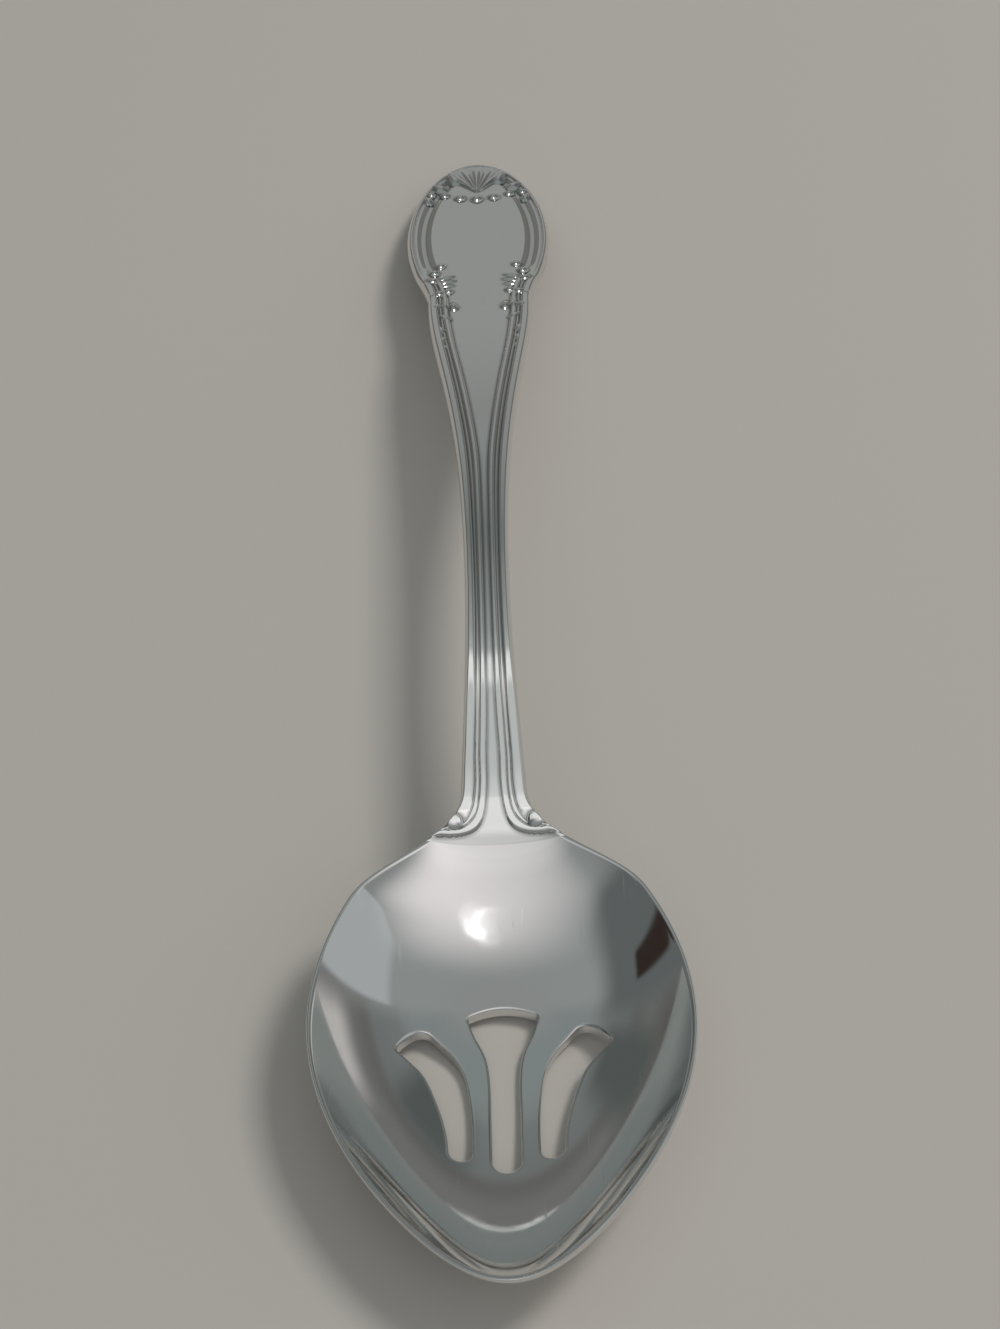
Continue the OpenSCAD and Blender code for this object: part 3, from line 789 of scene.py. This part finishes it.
# The floor: a plain pale table top, painted matt. It reaches far past the spoon and its shadow, so
# that its edges stay out of all but the lowest views.
floor_mesh = bpy.data.meshes.new("pale_floor")
floor_half = 3.0
floor_corners = [(-floor_half, -floor_half, 0), (floor_half, -floor_half, 0),
                 (floor_half, floor_half, 0), (-floor_half, floor_half, 0)]
floor_mesh.from_pydata(floor_corners, [], [(0, 1, 2, 3)])
floor = bpy.data.objects.new("pale_floor", floor_mesh)
bpy.context.scene.collection.objects.link(floor)
floor.location.z = cad_box[0].z
floor_paint = bpy.data.materials.new("pale_table_top")
floor_paint.use_nodes = True
floor_shader = floor_paint.node_tree.nodes["Principled BSDF"]
floor_shader.inputs["Base Color"].default_value = (0.66, 0.625, 0.585, 1)
floor_shader.inputs["Roughness"].default_value = 0.6
floor_mesh.materials.append(floor_paint)


# The light: one soft key lamp on the right, small cards close to the steel, and a pale room round
# it, with a bright ceiling, a dim window on the right and a dark side on the left.
white_card_watts = 2


def lamp(name, azimuth, elevation, distance, wide, high, glow, colour):
    """Area lamp that faces the spoon, with a glow of 1 for a plain white card. In metres."""
    light = bpy.data.lights.new(name, "AREA")
    light.shape = "RECTANGLE"
    light.size, light.size_y = wide, high
    light.energy = glow * white_card_watts * wide * high
    light.color = colour
    around, up = math.radians(azimuth), math.radians(elevation)
    box = bpy.data.objects.new(name, light)
    bpy.context.scene.collection.objects.link(box)
    box.location = [distance * v for v in (math.cos(up) * math.sin(around),
                                           math.cos(up) * math.cos(around), math.sin(up))]
    box.rotation_euler = box.location.to_track_quat("Z", "Y").to_euler()
    box.visible_camera = False
    return box


def light_only(box, *pieces):
    """Keeps a lamp to the pieces that it stands over."""
    lit = bpy.data.collections.new("lit_by_" + box.name)
    for piece in pieces:
        lit.objects.link(piece)
    box.light_linking.receiver_collection = lit


key = lamp("key_right", 75, 58, 1.8, 0.5, 0.5, 21, (1, 0.97, 0.93))
key.visible_glossy = False


def shade(tree, height, stops):
    """Colours that change along a value, from stops of (value, colour)."""
    first, last = stops[0][0], stops[-1][0]
    at = wire(tree, "ShaderNodeMapRange", Value=height, From_Min=first, From_Max=last)[0]
    ramp = tree.nodes.new("ShaderNodeValToRGB")
    ramp.color_ramp.interpolation = "EASE"
    while len(ramp.color_ramp.elements) < len(stops):
        ramp.color_ramp.elements.new(1.0)
    for element, (value, colour) in zip(ramp.color_ramp.elements, stops):
        element.position, element.color = (value - first) / (last - first), (*colour, 1)
    tree.links.new(at, ramp.inputs[0])
    return ramp.outputs[0]


def near_card(name, place, size, tilt, colour, glow_over, glows, *lit):
    """Card lamp that only the given pieces show, placed and sized in millimetres of the spoon.

    Its place is its distance aside, along the spoon from the bowl's tip, and up. Its glow is given
    at a few places, along the spoon or up.
    """
    box = lamp(name, 0, 90, 1, size[0] * mm, size[1] * mm, 1, colour)
    box.location = (place[0] * mm, (place[1] - spoon_l / 2) * mm, place[2] * mm)
    box.rotation_euler = (math.radians(tilt), 0, 0)
    box.visible_diffuse = False
    light_only(box, *lit)
    box.data.use_nodes = True
    tree = box.data.node_tree
    spot = wire(tree, "ShaderNodeSeparateXYZ", Vector=wire(tree, "ShaderNodeNewGeometry")["Position"])
    axis, start = {"along": (1, spoon_l / 2), "up": (2, 0)}[glow_over]
    glow = shade(tree, spot[axis], [((at - start) * mm, (bright,) * 3) for at, bright in glows])
    tree.links.new(glow, tree.nodes["Emission"].inputs["Color"])
    return box


# The cards stand for what leans over the spoon: a small bulb and a card over the bowl, a bright
# card over the neck with a spark on the shank, a narrow beam over the beads, and a card far beyond.
bulb_white, card_white = (1, 0.99, 0.97), (1, 0.98, 0.98)
beam_white, sky_white = (1, 0.99, 0.98), (0.93, 1, 1)
bulb = near_card("bulb_over_bowl", (0.9, 32.75, 40), (2.4, 0.1), 0, bulb_white,
                 "along", [(32, 9), (34, 9)], bowl)
bulb.data.shape = "ELLIPSE"
near_card("card_over_bowl", (0, 48, 36), (22, 22), 90, card_white,
          "up", [(25, 0), (30.6, 0.14), (34.4, 0.26), (39.3, 0.36), (46, 0.4)], bowl)
near_card("card_over_neck", (0, 88, 30), (50, 72), 0, card_white,
          "along", [(52, 0), (54.6, 0.3), (59, 0.95), (71.5, 1.0), (74.5, 0.68), (79, 0.5), (91.6, 0.5),
                    (94, 1.05), (96.8, 1.05), (99.6, 0.3), (104, 0.16), (112, 0.08), (124, 0)],
          neck, shank)
beam = near_card("beam_over_beads", (0, 189, 112), (26, 26), 0, beam_white,
                 "along", [(150, 1.2), (220, 1.2)], handle_end)
beam.data.spread = math.radians(40)
near_card("card_beyond_handle", (0, 1908, 720), (600, 1300), -68, sky_white,
          "up", [(100, 0.26), (750, 0.26), (1500, 0)], handle_end, shank)


def make_soft_card():
    """A card with soft edges in a direction map: 1 on the card, 0 off it. Angles are in degrees."""
    group, given, result = node_group("soft_card", [
        ("Across", "NodeSocketFloat", 0.0), ("Up", "NodeSocketFloat", 0.0),
        ("Left", "NodeSocketFloat", -1.0), ("Right", "NodeSocketFloat", 1.0),
        ("Low", "NodeSocketFloat", -1.0), ("High", "NodeSocketFloat", 1.0),
        ("Side blur", "NodeSocketFloat", 0.1), ("Low blur", "NodeSocketFloat", 0.1),
        ("High blur", "NodeSocketFloat", 0.1)], ["Card"])
    masks = []
    sides = (("Across", "Left", "Side blur", 1), ("Across", "Right", "Side blur", -1),
             ("Up", "Low", "Low blur", 1), ("Up", "High", "High blur", -1))
    for value, edge, blur, sign in sides:
        past = wire(group, "ShaderNodeMath", {"operation": "SUBTRACT"}, n0=given[value], n1=given[edge])[0]
        start = wire(group, "ShaderNodeMath", {"operation": "MULTIPLY"}, n0=given[blur], n1=-sign)[0]
        end = wire(group, "ShaderNodeMath", {"operation": "MULTIPLY"}, n0=given[blur], n1=sign)[0]
        masks.append(wire(group, "ShaderNodeMapRange", {"interpolation_type": "SMOOTHSTEP"}, Value=past,
                          From_Min=start, From_Max=end)[0])
    card = masks[0]
    for mask in masks[1:]:
        card = wire(group, "ShaderNodeMath", {"operation": "MULTIPLY"}, n0=card, n1=mask)[0]
    group.links.new(card, result["Card"])
    return group


world = bpy.data.worlds.new("quiet_room")
bpy.context.scene.world = world
world.use_nodes = True
room = world.node_tree
horizon = 0.02
outlook = wire(room, "ShaderNodeSeparateXYZ", Vector=wire(room, "ShaderNodeTexCoord")["Generated"])
azimuth = wire(room, "ShaderNodeMath", {"operation": "ARCTAN2"}, n0=outlook[0], n1=outlook[1])[0]
azimuth = wire(room, "ShaderNodeMath", {"operation": "DEGREES"}, n0=azimuth)[0]
elevation = wire(room, "ShaderNodeMath", {"operation": "ARCSINE"}, n0=outlook[2])[0]
elevation = wire(room, "ShaderNodeMath", {"operation": "DEGREES"}, n0=elevation)[0]
over = wire(room, "ShaderNodeMath", {"operation": "MAXIMUM"}, n0=outlook[2], n1=horizon)[0]
ceiling_x = wire(room, "ShaderNodeMath", {"operation": "DIVIDE"}, n0=outlook[0], n1=over)[0]
ceiling_y = wire(room, "ShaderNodeMath", {"operation": "DIVIDE"}, n0=outlook[1], n1=over)[0]


def hang_card(below, colour, across, up, left, right, low, high, side_blur, low_blur, high_blur):
    """Lays a soft-edged card of one colour over what the room shows so far."""
    mask = wire(room, "ShaderNodeGroup", {"node_tree": soft_card}, Across=across, Up=up, Left=left,
                Right=right, Low=low, High=high, Side_blur=side_blur, Low_blur=low_blur,
                High_blur=high_blur)[0]
    return wire(room, "ShaderNodeMix", {"data_type": "RGBA"}, Factor=mask, n6=below, n7=colour)[2]


soft_card = make_soft_card()
view = shade(room, elevation, [(-6, (0.16, 0.15, 0.14)), (9, (0.25, 0.26, 0.255)),
                               (50, (0.31, 0.335, 0.33)), (90, (0.30, 0.315, 0.31))])
ahead = shade(room, elevation, [
    (-6, (0.17, 0.165, 0.155)), (18, (0.185, 0.185, 0.18)), (27, (0.15, 0.15, 0.145)),
    (33, (0.185, 0.20, 0.20)), (44, (0.20, 0.22, 0.22)), (50, (0.24, 0.265, 0.262)),
    (54, (0.25, 0.285, 0.283)), (62, (0.25, 0.285, 0.283)), (80, (0.30, 0.315, 0.31))])
dark_green, left_side = (0.10, 0.115, 0.11, 1), (0.13, 0.145, 0.145, 1)
dark_patch = (0.035, 0.025, 0.022, 1)
window, pale_wall, dim_wall = (0.44, 0.465, 0.475, 1), (0.55, 0.53, 0.52, 1), (0.11, 0.105, 0.10, 1)
ceiling = (0.92, 0.88, 0.89, 1)

# Each card on the walls has its left, right, lower and upper edge, and the blur of its sides, its
# lower and its upper edge, all in degrees round the spoon. The ceiling's are shares of its height.
for colour, *edges in ((ahead, -75, 75, -20, 110, 10, 10, 10),
                       (dark_green, 14, 44, 29, 48, 7, 6, 4),
                       (dark_green, -60, -37, 12, 42, 7, 6, 4),
                       (left_side, -128, -66, -10, 46, 10, 5, 8),
                       (dark_patch, -91, -80, 8, 28, 1.5, 1.5, 1.5),
                       (window, 78, 114, 6, 43, 1.5, 1.5, 3),
                       (pale_wall, 46, 70, -6, 16, 7, 5, 5),
                       (dim_wall, -66, -26, -12, 13, 8, 8, 6)):
    view = hang_card(view, colour, azimuth, elevation, *edges)
view = hang_card(view, ceiling, ceiling_x, ceiling_y, -0.35, 1.0, -1.2, -0.53, 0.7, 0.4, 0.27)
room.links.new(view, room.nodes["Background"].inputs["Color"])

bpy.context.scene.view_settings.view_transform = "Standard"
